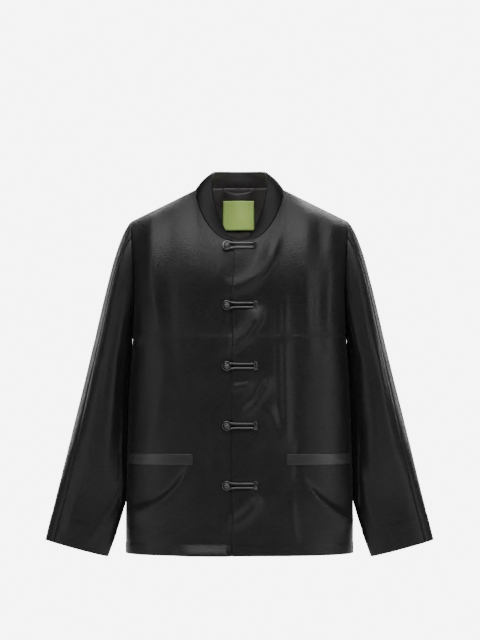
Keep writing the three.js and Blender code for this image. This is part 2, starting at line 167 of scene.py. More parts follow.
def bodyPoint(across, up, face):
    if up <= 1:
        return torsoPoint(hemLevel + (underarmLevel - hemLevel) * up, across, face, 0)
    half = "front" if face < 0 else "back"
    widest = armholeReach[half]
    if up <= 2:
        turn = (up - 1) * math.pi / 2
        level = chestLevel + (underarmLevel - chestLevel) * math.cos(turn)
        return torsoPoint(level, across, face, widest * math.sin(turn))
    chest = torsoPoint(chestLevel, across, face, widest)
    top = topPoint(across, face)
    length = (top - chest).length
    pitch = math.radians(tableValue(yokeRows, "across", across, half + "Pitch"))
    pull = length * tableValue(yokeRows, "across", across, half + "Pull")
    leave = Vector((0, -0.06 * face, 1)) * length
    arrive = Vector((0, -face * math.sin(pitch), math.cos(pitch))) * pull
    return hermite(chest, top, leave, arrive, up - 2)


def shiftOverlap(point, up, side):
    near = 1 - smoothStep(abs(point.x), overlap["reach"], overlap["reach"] + overlap["fade"])
    turn = overlap["turn"] * smoothStep(up, 2, 3)
    point.y -= side * overlap["step"] * near * math.cos(turn)
    point.z += side * overlap["step"] * near * math.sin(turn)


def frontPoint(across, up, side):
    point = bodyPoint(across, up, -1)
    shiftOverlap(point, up, side)
    point.x *= side
    return point


def backPoint(across, up):
    point = bodyPoint(abs(across), up, 1)
    point.x *= math.copysign(1, across)
    return point


def halve(low, high, isPast):
    for _ in range(24):
        middle = (low + high) / 2
        low, high = (low, middle) if isPast(middle) else (middle, high)
    return (low + high) / 2


def surfaceAt(x, level, face):
    across = 0.5
    for _ in range(6):
        up = halve(0, 3, lambda value: bodyPoint(across, value, face).z > level)
        across = halve(0, 2, lambda value: bodyPoint(value, up, face).x > abs(x))
    point = bodyPoint(across, up, face)
    point.x *= math.copysign(1, x)
    return point


# the sleeves' and the collar's surfaces


def armholePoint(angle):
    turn = angle - 360 if angle > 360 else angle
    if turn <= 180:
        return bodyPoint(2, 1 + 2 * (1 - turn / 180), -1)
    return bodyPoint(2, 1 + 2 * (turn / 180 - 1), 1)


def armPoint(angle, drop):
    turn = math.radians(angle)
    width = tableValue(sleeveRows, "drop", drop, "width")
    outward = Vector((math.cos(sleeveTilt), 0, math.sin(sleeveTilt)))
    point = bicepOuter + sleeveDirection * drop + outward * ((math.cos(turn) - 1) * width / 2)
    point.y = (tableValue(sleeveRows, "drop", drop, "middleY")
               - math.sin(turn) * tableValue(sleeveRows, "drop", drop, "halfDepth"))
    return point


def armAngle(angle):
    shift = overarmSeam["arm"] - overarmSeam["cap"]
    if angle <= 180:
        return angle + shift * (180 - angle) / (180 - overarmSeam["cap"])
    return angle + shift * (angle - 180) / (180 + overarmSeam["cap"])


def sleevePoint(angle, down, side):
    point = armPoint(armAngle(angle), max(down - 1, 0) * sleeveLength)
    if down < 1:
        armhole = armholePoint(angle)
        turn = math.radians(angle)
        length = (point - armhole).length
        spread = math.sin(turn) ** 2
        leave = Vector((
            0.42 + 0.2 * math.cos(turn) + 0.36 * spread,
            -0.4 * math.sin(turn),
            -0.88 + 0.1 * math.cos(turn) + 0.39 * spread,
        )).normalized() * 0.6 * length
        point = hermite(armhole, point, leave, sleeveDirection * length, down)
    point.x *= side
    return point


def collarPoint(angle, height):
    around = abs(angle)
    turn = math.radians(around)
    point = neckPoint(around)
    lean = tableValue(neckRows, "angle", around, "lean")
    bulge = 0.06 * lean * math.sin(math.pi * height)
    point.x -= math.sin(turn) * (lean * height - bulge)
    point.y += math.cos(turn) * (lean * height - bulge)
    point.z += tableValue(neckRows, "angle", around, "rise") * height + bulge
    point.x *= math.copysign(1, angle)
    return point


# materials


def newGroup(name, inputs, outputs):
    tree = bpy.data.node_groups.new(name, "ShaderNodeTree")
    for label, kind, value in inputs:
        socket = tree.interface.new_socket(label, in_out="INPUT", socket_type="NodeSocket" + kind)
        socket.default_value = value
    for label, kind in outputs:
        tree.interface.new_socket(label, in_out="OUTPUT", socket_type="NodeSocket" + kind)
    return tree, tree.nodes.new("NodeGroupInput"), tree.nodes.new("NodeGroupOutput")


def addNode(tree, kind, **settings):
    node = tree.nodes.new(kind)
    for name, value in settings.items():
        setattr(node, name, value)
    return node


def addMath(tree, operation, first, second):
    node = addNode(tree, "ShaderNodeMath", operation=operation)
    for i, value in enumerate((first, second)):
        if isinstance(value, (int, float)):
            node.inputs[i].default_value = value
        else:
            tree.links.new(value, node.inputs[i])
    return node.outputs[0]


def makeWeave():
    # threads and slubs on a cloth's own UV map, which is in metres
    tree, inputs, outputs = newGroup(
        "threads and slubs",
        [("Slub Strength", "Float", 1.0)],
        [("Height", "Float"), ("Slub", "Float"), ("Cloud", "Float")],
    )
    uv = addNode(tree, "ShaderNodeUVMap", uv_map="cloth")

    def stretched(scale, detail, along, over):
        mapping = addNode(tree, "ShaderNodeMapping")
        mapping.inputs["Scale"].default_value = (along, over, 1)
        tree.links.new(uv.outputs[0], mapping.inputs[0])
        texture = addNode(tree, "ShaderNodeTexNoise", noise_dimensions="2D")
        texture.inputs["Scale"].default_value = scale
        texture.inputs["Detail"].default_value = detail
        tree.links.new(mapping.outputs[0], texture.inputs["Vector"])
        return texture.outputs[0]

    weft = stretched(900, 2, 0.18, 1)
    warp = stretched(900, 2, 1, 0.18)
    slub = stretched(420, 3, 0.34, 1)
    cloud = stretched(22, 3, 1, 1)
    weftShare = addMath(tree, "MULTIPLY", weft, 0.6)
    warpShare = addMath(tree, "MULTIPLY", warp, 0.4)
    threads = addMath(tree, "ADD", weftShare, warpShare)
    lumps = addMath(tree, "MULTIPLY", slub, inputs.outputs["Slub Strength"])
    tree.links.new(addMath(tree, "ADD", threads, lumps), outputs.inputs["Height"])
    tree.links.new(slub, outputs.inputs["Slub"])
    tree.links.new(cloud, outputs.inputs["Cloud"])
    return tree


weaveGroup = makeWeave()


toneRange = {"low": 0.32, "high": 0.68, "roughening": 0.32, "threadHeight": 0.0004}


def makeCloth(name, dark, light, roughness, bump, slub, sheen, specular):
    # a tone between dark and light from slubs and broad clouding, which also roughens the cloth
    material = bpy.data.materials.new(name)
    material.use_nodes = True
    tree = material.node_tree
    shader = tree.nodes["Principled BSDF"]
    weave = addNode(tree, "ShaderNodeGroup", node_tree=weaveGroup)
    weave.inputs["Slub Strength"].default_value = slub
    tone = addMath(tree, "ADD", addMath(tree, "MULTIPLY", weave.outputs["Slub"], 0.7),
                   addMath(tree, "MULTIPLY", weave.outputs["Cloud"], 0.3))
    ramp = addNode(tree, "ShaderNodeValToRGB")
    ramp.color_ramp.elements[0].position = toneRange["low"]
    ramp.color_ramp.elements[0].color = (*dark, 1)
    ramp.color_ramp.elements[1].position = toneRange["high"]
    ramp.color_ramp.elements[1].color = (*light, 1)
    tree.links.new(tone, ramp.inputs[0])
    tree.links.new(ramp.outputs[0], shader.inputs["Base Color"])
    spread = toneRange["roughening"]
    rough = addMath(tree, "ADD", addMath(tree, "MULTIPLY", tone, spread), roughness - spread / 2)
    tree.links.new(rough, shader.inputs["Roughness"])
    relief = addNode(tree, "ShaderNodeBump")
    relief.inputs["Strength"].default_value = bump
    relief.inputs["Distance"].default_value = toneRange["threadHeight"]
    tree.links.new(weave.outputs["Height"], relief.inputs["Height"])
    tree.links.new(relief.outputs[0], shader.inputs["Normal"])
    shader.inputs["Sheen Weight"].default_value = sheen
    shader.inputs["Sheen Roughness"].default_value = 0.45
    shader.inputs["Specular IOR Level"].default_value = specular
    return material


clothRows = table(
    "name dark light roughness bump slub sheen specular",
    ("black satin", (0.0018, 0.0018, 0.0020), (0.0044, 0.0044, 0.0046), 0.42, 0.8, 1.5, 0.02, 0.18),
    # the collar's satin is the body's satin made darker: painted shade where the standing collar turns away
    # from the light
    ("black collar satin", (0.0012, 0.0012, 0.0013), (0.0026, 0.0026, 0.0027), 0.46, 0.4, 1.2, 0.01, 0.07),
    # the frog cords', tabs' and knots' satin is the body's satin made lighter: painted highlight on the
    # round cords and knots; its low roughness and high specular are real shine
    ("black satin cord", (0.004, 0.004, 0.0042), (0.008, 0.008, 0.0083), 0.22, 0.3, 0.6, 0.03, 0.6),
    # the welts' satin is the body's satin made lighter: painted sheen where the welt's threads run the
    # other way and catch the light
    ("black satin welt", (0.003, 0.003, 0.0032), (0.007, 0.007, 0.0072), 0.40, 0.5, 1.4, 0.04, 0.34),
    ("plum grey lining", (0.028, 0.024, 0.025), (0.044, 0.038, 0.040), 0.36, 0.25, 0.6, 0.12, 0.4),
    # the neck facing is the lining's plum grey made lighter: painted light inside the neck, where little
    # light reaches
    ("neck facing", (0.060, 0.054, 0.054), (0.090, 0.082, 0.080), 0.42, 0.25, 0.6, 0.12, 0.4),
    ("green thread", (0.14, 0.34, 0.012), (0.20, 0.42, 0.03), 0.6, 0.2, 0.3, 0.1, 0.5),
    ("lime label weave", (0.56, 0.84, 0.17), (0.64, 0.90, 0.25), 0.6, 0.4, 0.3, 0.2, 0.5),
)
cloths = [makeCloth(**row) for row in clothRows]
satin, collarSatinPaintedShade, cordSatinPaintedHighlight, weltSatinPaintedSheen, lining, neckFacingPaintedLight, greenThread, limeWeave = cloths

lozengeSettings = {"count": 9, "width": 0.064, "height": 0.061, "border": 0.389, "strength": 0.55}
lozengeRings = table(
    "low high colour",
    (0.0, 0.13, (0.50, 0.30, 0.34, 1)),
    (0.24, 0.34, (0.80, 0.80, 0.16, 1)),
)


def addLozenges(material):
    # rows of small plain lozenges woven into the label's middle
    settings = lozengeSettings
    tree = material.node_tree
    shader = tree.nodes["Principled BSDF"]
    ground = shader.inputs["Base Color"].links[0].from_socket
    uv = addNode(tree, "ShaderNodeUVMap", uv_map="cloth")
    parts = addNode(tree, "ShaderNodeSeparateXYZ")
    tree.links.new(uv.outputs[0], parts.inputs[0])
    spans, edges = [], []
    for socket, size in zip(parts.outputs, (settings["width"], settings["height"])):
        turn = addMath(tree, "FRACT", addMath(tree, "MULTIPLY", socket, settings["count"] / size), 0)
        spans.append(addMath(tree, "ABSOLUTE", addMath(tree, "SUBTRACT", turn, 0.5), 0))
        middle = addMath(tree, "SUBTRACT", addMath(tree, "MULTIPLY", socket, 1 / size), 0.5)
        fromMiddle = addMath(tree, "ABSOLUTE", middle, 0)
        edges.append(addMath(tree, "LESS_THAN", fromMiddle, settings["border"]))
    together = addMath(tree, "ADD", spans[0], spans[1])
    inside = addMath(tree, "MULTIPLY", edges[0], edges[1])
    for row in lozengeRings:
        ring = addMath(tree, "MULTIPLY", addMath(tree, "GREATER_THAN", together, row["low"]),
                       addMath(tree, "LESS_THAN", together, row["high"]))
        share = addMath(tree, "MULTIPLY", addMath(tree, "MULTIPLY", ring, inside), settings["strength"])
        blend = addNode(tree, "ShaderNodeMix", data_type="RGBA")
        tree.links.new(share, blend.inputs[0])
        tree.links.new(ground, blend.inputs[6])
        blend.inputs[7].default_value = row["colour"]
        ground = blend.outputs[2]
    tree.links.new(ground, shader.inputs["Base Color"])


addLozenges(limeWeave)
print("materials ready")


# cloth panels


def gridPiece(surface, columns, rows, acrossAt, upAt, shape, outward=1):
    # a flat grid carried onto a surface, then pressed into its folds along its own normals;
    # "outward" is -1 where the grid's own normals point in
    bm = bmesh.new()
    bmesh.ops.create_grid(bm, x_segments=columns, y_segments=rows, size=0.5)
    uvLayer = bm.loops.layers.uv.new("cloth")
    places = {}
    for vert in bm.verts:
        u, v = vert.co.x + 0.5, vert.co.y + 0.5
        places[vert.index] = (u, v)
        vert.co = surface(acrossAt(u), upAt(v))
    bm.normal_update()
    for vert in bm.verts:
        u, v = places[vert.index]
        vert.co += vert.normal * outward * shape(vert.co, u, v)
    if outward < 0:
        bmesh.ops.reverse_faces(bm, faces=bm.faces)
    return bm, places, uvLayer


def finishCloth(name, bm, places, uvLayer, size, settings, slots):
    for face in bm.faces:
        face.smooth = True
        for loop in face.loops:
            u, v = places[loop.vert.index]
            loop[uvLayer].uv = (u * size[0] * mm, v * size[1] * mm)
    bmesh.ops.scale(bm, vec=(mm, mm, mm), verts=bm.verts)
    mesh = bpy.data.meshes.new(name)
    bm.to_mesh(mesh)
    bm.free()
    piece = bpy.data.objects.new(name, mesh)
    bpy.context.scene.collection.objects.link(piece)
    for material in slots:
        mesh.materials.append(material)
    wall = piece.modifiers.new("wall", "SOLIDIFY")
    wall.thickness = settings["thickness"] * mm
    wall.offset = -1
    wall.material_offset = len(slots) - 1
    wall.material_offset_rim = 0
    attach(piece, "root")
    return piece


def bentRuler(pairs):
    # reads evenly spaced 0..1 onto uneven stations
    def read(t):
        for (t0, a0), (t1, a1) in zip(pairs, pairs[1:]):
            if t <= t1 or (t1, a1) == pairs[-1]:
                return a0 + (a1 - a0) * (t - t0) / (t1 - t0)
    return read


frontAcross = bentRuler([(0, -1), (0.05, 0), (0.36, 1), (1, 2)])
underarmRow, chestRow = 0.6, 0.76  # shares of a body panel's rows
bodyUp = bentRuler([(0, 0), (underarmRow, 1), (chestRow, 2), (1, 3)])


def creaseHeight(creases, x, level):
    # "above" and "below" are a fold's reach on its upper and lower side (left and right of an
    # upright one), and "bow" bends it downwards
    height = 0.0
    for row in creases:
        dx, dz = row["x1"] - row["x0"], row["z1"] - row["z0"]
        length = math.hypot(dx, dz)
        along = ((x - row["x0"]) * dx + (level - row["z0"]) * dz) / length / length
        if not -0.25 < along < 1.25:
            continue
        off = ((x - row["x0"]) * dz - (level - row["z0"]) * dx) / length
        if dx > 0:
            off = -off
        off += row["bow"] * 4 * along * (1 - along)
        spread = row["above"] if off > 0 else row["below"]
        if abs(off) > 3 * spread:
            continue
        fade = smoothStep(along, -0.25, 0.2) * (1 - smoothStep(along, 0.8, 1.25))
        height += row["lift"] * fade * math.exp(-(off / spread) ** 2)
    return height


def addRipples(height, rows, x, level, way=1):
    # low uneven swells; "way" mirrors the seed from one side to the other
    for row in rows:
        seed = row["seed"] * way
        place = Vector((x * row["xPitch"] + seed, level * row["zPitch"], row["layer"]))
        height += row["lift"] * noise.noise(place)
    return height


foldColumns = "x0 z0 x1 z1 above below lift bow"
rippleColumns = "lift xPitch zPitch seed layer"
sewing = {
    "hemFold": 24.0,
    "hemSwell": 0.7,
    "hemStitch": 0.6,
    "hemCalm": 60,
    "sideDip": 0.9,
    "sideDipReach": 2.5,
}

frontSettings = {
    "thickness": 1.4,
    "columns": 96,
    "rows": 220,
    "hemFlare": {"left": -95, "fadeIn": 40, "right": -26, "fadeOut": 10, "rise": 26, "lift": 10.0},
    "underOverlap": {"from": -48, "to": -15},
    "frogLevels": (-113, -230.5, -350, -467.5, -585),
    "pinch": {"x0": -26, "x1": 34, "above": 8, "below": 8, "lift": -2.6},
    "ripples": table(rippleColumns, (1.1, 0.014, 0.007, 7, 0), (0.25, 0.05, 0.04, 7, 2)),
    "left": table(
        foldColumns,
        (74, -112, -16, -206, 20, 7, 12, 17),
        (42, -248, -16, -318, 20, 8, 11, 6),
        (20, -388, -14, -393, 7, 7, 4.0, 0),
        (56, -380, 14, -442, 8, 10, 6.0, 4),
        (46, -372, 6, -428, 8, 8, -2.4, 4),
        (52, -430, 84, -506, 12, 12, 4.6, -4),
        (90, -225, 94, -480, 6, 8, 3.4, 3),
        (76, -240, 78, -470, 9, 9, -2.4, 0),
        (113, -240, 110, -480, 11, 11, -2.2, 0),
        (132, -40, 136, -310, 18, 16, 3.4, 5),
        (158, -60, 156, -300, 12, 14, -2.0, 0),
        (184, -80, 178, -300, 12, 14, 2.4, -4),
        (36, -616, -16, -664, 17, 10, 9.0, 5),
        (132, -588, 220, -658, 9, 26, 7.5, 7),
        (116, -500, 112, -575, 7, 7, -2.4, 0),
        (104, -600, 112, -700, 6, 7, 2.2, 2),
        (50, -505, 66, -580, 24, 22, -2.6, 0),
        (60, -620, 70, -705, 14, 16, -1.8, 0),
    ),
    "right": table(
        foldColumns,
        (-174, -50, -160, -260, 13, 14, 3.4, 5),
        (-140, -60, -132, -330, 14, 16, -2.2, 4),
        (-22, -244, -36, -326, 12, 11, 4.0, 3),
        (-100, -80, -88, -300, 20, 20, 2.4, 0),
        (-56, -300, -52, -520, 16, 20, 2.2, 4),
        (-58, -417, -72, -574, 14, 14, -2.2, 0),
        (-104, -562, -208, -638, 9, 26, 8.0, 16),
        (-96, -650, -190, -706, 16, 14, -2.2, 8),
        (-150, -340, -176, -500, 16, 16, 2.0, 4),
        (-196, -292, -206, -310, 6, 6, 3.0, 0),
        (-32, -150, -46, -210, 12, 12, 2.0, 0),
        (-30, -560, -40, -690, 14, 16, 1.8, 2),
    ),
}


def calmFolds(height, across, up, level):
    # folds die out at the side seams, the hem and the shoulders
    height *= 1 - smoothStep(abs(across), 1.75, 2)
    height *= smoothStep(level, hemLevel, hemLevel + sewing["hemCalm"]) * (1 - smoothStep(up, 2.7, 3))
    return height


def addSewing(height, across, level):
    # the side seam draws in; the turned-up hem is thicker, and its sewing line draws in
    fromSide = (2 - abs(across)) * sideCloth
    height -= sewing["sideDip"] * math.exp(-(fromSide / sewing["sideDipReach"]) ** 2)
    rise = level - hemLevel - sewing["hemFold"]
    swell = sewing["hemSwell"] * (1 - smoothStep(rise, -4, 0.5))
    return height + (swell - sewing["hemStitch"] * math.exp(-(rise / 1.5) ** 2))


def flareHeight(x, level):
    # the right front's hem turns out where it comes to the overlap
    flare = frontSettings["hemFlare"]
    left, right = flare["left"], flare["right"]
    reach = smoothStep(x, left - flare["fadeIn"], left)
    reach *= 1 - smoothStep(x, right, right + flare["fadeOut"])
    return flare["lift"] * reach * smoothStep(hemLevel + flare["rise"] - level, 0, flare["rise"])


def shapeFront(side):
    pinch = frontSettings["pinch"]
    pinches = [dict(pinch, z0=level, z1=level + 1, bow=0) for level in frontSettings["frogLevels"][1:]]
    under = frontSettings["underOverlap"]

    def folded(name, way, co):
        height = creaseHeight(frontSettings[name], co.x, co.z) + creaseHeight(pinches, co.x, co.z)
        return addRipples(height, frontSettings["ripples"], co.x, co.z, way)

    def shape(co, u, v):
        across, up = frontAcross(u), bodyUp(v)
        height = folded("left", 1, co)
        if side < 0:
            shared = smoothStep(co.x, under["from"], under["to"])  # there it follows the left front
            height = shared * height + (1 - shared) * folded("right", -1, co)
        height = calmFolds(height, across, up, co.z)
        if side < 0:
            height += flareHeight(co.x, co.z)
        return addSewing(height, across, co.z)

    return shape


easing = {"beside": 0.4, "from": 0.8, "to": 0.985, "turnReach": 0.02, "rounds": 14}


def easeTurns(bm, places, acrossAt):
    # softens the cloth's turns below the neck's corner, at the underarm and at the chest
    eased = []
    for vert in bm.verts:
        u, v = places[vert.index]
        across = abs(acrossAt(u))
        atNeck = abs(across - 1) < easing["beside"] and easing["from"] < v < easing["to"]
        fromTurn = min(abs(v - underarmRow), abs(v - chestRow))
        isInner = across < 1.97 and 0.01 < u < 0.99
        if atNeck or (fromTurn < easing["turnReach"] and isInner):
            eased.append(vert)
    for _ in range(easing["rounds"]):
        bmesh.ops.smooth_vert(
            bm, verts=eased, factor=0.5, use_axis_x=True, use_axis_y=True, use_axis_z=True)


def addFront(side):
    name = "front_left" if side > 0 else "front_right"
    bm, places, uvLayer = gridPiece(
        lambda across, up: frontPoint(across, up, side), frontSettings["columns"],
        frontSettings["rows"], frontAcross, bodyUp, shapeFront(side), side)
    easeTurns(bm, places, frontAcross)
    piece = finishCloth(
        name + "_cloth", bm, places, uvLayer, (290, 730), frontSettings, (satin, lining))
    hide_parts(name)


for side in (1, -1):
    addFront(side)
print("fronts ready")

backSettings = {
    "thickness": 1.4,
    "columns": 160,
    "rows": 200,
    "ripples": table(rippleColumns, (1.1, 0.012, 0.007, 31, 4), (0.25, 0.05, 0.04, 13, 6)),
    "creases": table(
        foldColumns,
        (-120, -90, -60, -260, 18, 16, 2.2, 6),
        (118, -100, 66, -250, 20, 12, 2.4, 6),
        (-20, -120, -10, -420, 22, 22, 1.8, 4),
        (60, -330, 90, -640, 18, 16, 2.4, 5),
        (-80, -360, -110, -660, 17, 17, 2.6, 5),
        (10, -430, 20, -690, 16, 16, 2.0, 3),
        (-150, -200, -140, -480, 14, 14, -1.8, 4),
        (150, -220, 142, -500, 14, 14, -1.8, 4),
        (40, -90, 40, -220, 12, 12, -1.2, 0),
        (-170, -420, -60, -480, 14, 9, 2.6, 8),
        (176, -400, 70, -450, 14, 9, 2.2, 8),
    ),
}
backAcross = bentRuler([(0, -2), (0.33, -1), (0.67, 1), (1, 2)])


def shapeBack(co, u, v):
    across, up = backAcross(u), bodyUp(v)
    height = creaseHeight(backSettings["creases"], co.x, co.z)
    height = addRipples(height, backSettings["ripples"], co.x, co.z)
    return addSewing(calmFolds(height, across, up, co.z), across, co.z)


def addBack():
    bm, places, uvLayer = gridPiece(
        backPoint, backSettings["columns"], backSettings["rows"], backAcross, bodyUp, shapeBack, -1)
    easeTurns(bm, places, backAcross)
    piece = finishCloth(
        "back_cloth", bm, places, uvLayer, (540, 740), backSettings, (satin, lining))
    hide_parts("back")


addBack()
print("back ready")

# sleeves

sleeveSettings = {
    "thickness": 1.4,
    "columnsPerDegree": 0.36,
    "rows": 180,
    "headLength": 210,
    "clothPerDegree": 0.95,
    "cuffFold": 56.0,
    "resting": {"from": -640, "to": -300, "fadeIn": 25, "fadeOut": 30, "most": 12, "spread": 26},
    "ripples": table(rippleColumns, (0.9, 0.03, 0.009, 5, 9), (0.3, 0.07, 0.05, 5, 3)),
    "left": table(
        foldColumns,
        (134, 30, 132, 190, 9, 9, -2.6, 0),
        (104, 10, 112, 200, 9, 11, 3.0, 4),
        (78, 60, 84, 330, 12, 12, -1.6, 6),
        (150, 210, 150, 470, 16, 18, -2.4, 0),
        (96, 330, 112, 520, 14, 16, 2.2, 5),
        (56, 200, 60, 420, 9, 12, 1.8, 4),
        (150, 400, 120, 560, 12, 10, 2.2, 6),
        (70, 430, 80, 560, 14, 14, -1.2, 0),
        (230, 120, 250, 420, 20, 18, 2.6, 6),
        (300, 60, 290, 380, 20, 20, -2.2, 6),
        (340, 200, 320, 540, 18, 18, 2.2, 6),
        (215, 330, 270, 440, 14, 10, 2.6, 8),
    ),
    "right": table(
        foldColumns,
        (150, 20, 146, 170, 6, 8, 2.6, 2),
        (128, 30, 126, 260, 12, 12, -1.8, 0),
        (98, 80, 104, 360, 14, 14, 1.6, 4),
        (70, 60, 74, 300, 12, 12, -1.4, 0),
        (160, 440, 100, 590, 12, 8, 3.2, 6),
        (58, 500, 62, 580, 10, 14, 2.4, 0),
        (140, 260, 132, 440, 16, 16, -2.0, 4),
        (240, 110, 250, 430, 20, 18, 2.4, 6),
        (300, 80, 296, 400, 20, 20, -2.2, 6),
        (335, 220, 322, 520, 18, 18, 2.2, 6),
        (220, 350, 280, 450, 14, 10, 2.6, 8),
    ),
}
sleeveDown = bentRuler([(0, 0), (0.36, 1), (1, 2)])


def restingHeight(co, angle):
    # the arm swells to lie on the body's side
    resting = sleeveSettings["resting"]
    side = tableValue(torsoRows, "level", min(co.z, chestLevel), "halfWidth") - 0.4
    gap = max(abs(co.x) - side, 0) if angle < 270 else 0
    if gap >= resting["most"]:
        return 0.0
    low, high = resting["from"], resting["to"]
    beside = smoothStep(co.z, low, low + resting["fadeIn"])
    beside *= 1 - smoothStep(co.z, high - resting["fadeOut"], high)
    return gap * beside * math.exp(-((angle - 180) / resting["spread"]) ** 2)


def shapeSleeve(start, end, side):
    settings = sleeveSettings
    creases = settings["left" if side > 0 else "right"]
    head = settings["headLength"]

    def shape(co, u, v):
        angle = start + (end - start) * u
        down = sleeveDown(v)
        run = down * head if down < 1 else head + (down - 1) * sleeveLength
        height = addRipples(creaseHeight(creases, angle, run), settings["ripples"], angle, run, side)
        height *= smoothStep(down, 0, 0.12) * (1 - smoothStep(down, 1.9, 2))
        fromSeam = min(abs(angle - start), abs(end - angle)) * settings["clothPerDegree"]
        height *= smoothStep(fromSeam, 0, 10)
        height -= 0.8 * math.exp(-(fromSeam / 2.2) ** 2)
        height -= 0.9 * math.exp(-(run / 3.0) ** 2)
        height += restingHeight(co, angle)
        fromFold = head + sleeveLength - run - settings["cuffFold"]
        return height + 0.6 * (1 - smoothStep(fromFold, -4, 0.5)) - 0.7 * math.exp(-(fromFold / 1.6) ** 2)

    return shape


def addSleevePiece(half, part, start, end, side):
    columns = int((end - start) * sleeveSettings["columnsPerDegree"])
    bm, places, uvLayer = gridPiece(
        lambda angle, down: sleevePoint(angle, down, side), columns, sleeveSettings["rows"],
        bentRuler([(0, start), (1, end)]), sleeveDown, shapeSleeve(start, end, side), side)
    name = f"sleeve_{half}_{part}"
    width = 150 if part == "front" else 215
    piece = finishCloth(
        name + "_cloth", bm, places, uvLayer, (width, 640), sleeveSettings, (satin, lining))
    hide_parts(name)


for half, side in (("left", 1), ("right", -1)):
    addSleevePiece(half, "front", overarmSeam["cap"], 180, side)
    addSleevePiece(half, "back", 180, 360 + overarmSeam["cap"], side)
print("sleeves ready")

# collar

collarSettings = {"thickness": 1.1, "columns": 180, "rows": 16, "inside": 1.7}
collarAngle = bentRuler([(0, -1e-6), (0.5, -180), (0.5000001, 180), (1, 1e-6)])


def addCollar(name, node, inward, material):
    bm, places, uvLayer = gridPiece(
        collarPoint, collarSettings["columns"], collarSettings["rows"],
        collarAngle, bentRuler([(0, 0.02), (1, 1)]), lambda co, u, v: -inward, -1)
    piece = finishCloth(name, bm, places, uvLayer, (470, 46), collarSettings, (material,))
    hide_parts(node)


addCollar("collar_outer_band", "collar_outer", 0.0, collarSatinPaintedShade)
addCollar("collar_inner_band", "collar_inner", collarSettings["inside"], lining)
print("collar ready")

# what shows inside the neck

backDepth = {"lining": 3.6, "label": 7.0, "loop": 8.6}  # in from the back's outer face
liningSettings = {"thickness": 0.8, "cells": 60, "reach": 0.97, "pleat": 1.6}
labelSettings = {
    "left": -34,
    "right": 30,
    "bottom": -77,
    "top": -16.5,
    "thickness": 0.8,
    "cells": 20,
    "hem": 0.04,
    "margin": 1.8,
    "stitchPitch": 2.4,
    "stitchSize": 0.7,
}
loopSettings = {"left": -32, "right": 29, "level": 3, "sag": 9, "bow": 3, "height": 2.2, "radius": 1.0}


def addLining():
    settings = liningSettings
    reach, cells = settings["reach"], settings["cells"]
    bm, places, uvLayer = gridPiece(
        backPoint, cells, cells, bentRuler([(0, -reach), (1, reach)]), bentRuler([(0, 2), (1, 3)]),
        lambda co, u, v: backDepth["lining"] - settings["pleat"] * math.exp(-(co.x / 2.5) ** 2))
    piece = finishCloth("back_neck_facing", bm, places, uvLayer, (190, 220), settings, (neckFacingPaintedLight,))
    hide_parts("back_neck_lining")


def backInside(x, level, depth):
    point = surfaceAt(x, level, 1)
    ahead = surfaceAt(x + 1, level, 1) - point
    above = surfaceAt(x, level + 1, 1) - point
    return point + ahead.cross(above).normalized() * depth


def joinMesh(name, bm, material, node):
    bmesh.ops.recalc_face_normals(bm, faces=bm.faces)
    for face in bm.faces:
        face.smooth = True
    bmesh.ops.scale(bm, vec=(mm, mm, mm), verts=bm.verts)
    mesh = bpy.data.meshes.new(name)
    bm.to_mesh(mesh)
    bm.free()
    mesh.materials.append(material)
    piece = bpy.data.objects.new(name, mesh)
    bpy.context.scene.collection.objects.link(piece)
    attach(piece, "root")
    if node:
        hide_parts(node)
    return piece


def smoothRoute(points, steps):
    # a smooth path through a few points
    path = []
    last = len(points) - 1
    for i in range(last):
        slope = (points[i + 1] - points[max(i - 1, 0)]) / 6
        slopeNext = (points[min(i + 2, last)] - points[i]) / 6
        span = geometry.interpolate_bezier(
            points[i], points[i] + slope, points[i + 1] - slopeNext, points[i + 1], steps + 1)
        path += span[:-1]
    return path + [points[-1]]


def sweepCord(bm, path, radius, sides, closed=False):
    # rings along a path, bridged into a tube
    rings = []
    last = len(path) - 1
    for i, point in enumerate(path):
        if closed:
            ahead = path[(i + 1) % len(path)] - path[i - 1]
        else:
            ahead = path[min(i + 1, last)] - path[max(i - 1, 0)]
        turn = ahead.to_track_quat("Z", "Y").to_matrix().to_4x4()
        matrix = Matrix.Translation(point) @ turn
        isEnd = not closed and i in (0, last)
        ring = bmesh.ops.create_circle(bm, segments=sides, radius=radius, matrix=matrix, cap_ends=isEnd)
        rings.append(list({edge for vert in ring["verts"] for edge in vert.link_edges}))
    pairs = list(zip(rings, rings[1:]))
    if closed:
        pairs.append((rings[-1], rings[0]))
    for first, second in pairs:
        bmesh.ops.bridge_loops(bm, edges=first + second)


def addStitches(bm, path, pitch, size):
    # short raised threads laid along a path
    for first, second in zip(path, path[1:]):
        length = (second - first).length
        count = max(int(length / pitch), 1)
        turn = (second - first).to_track_quat("X", "Z").to_matrix().to_4x4()
        for i in range(count):
            place = Matrix.Translation(first.lerp(second, (i + 0.5) / count)) @ turn
            matrix = place @ Matrix.Diagonal((size * 2.6, size, size, 1))
            bmesh.ops.create_icosphere(bm, subdivisions=1, radius=0.5, matrix=matrix)


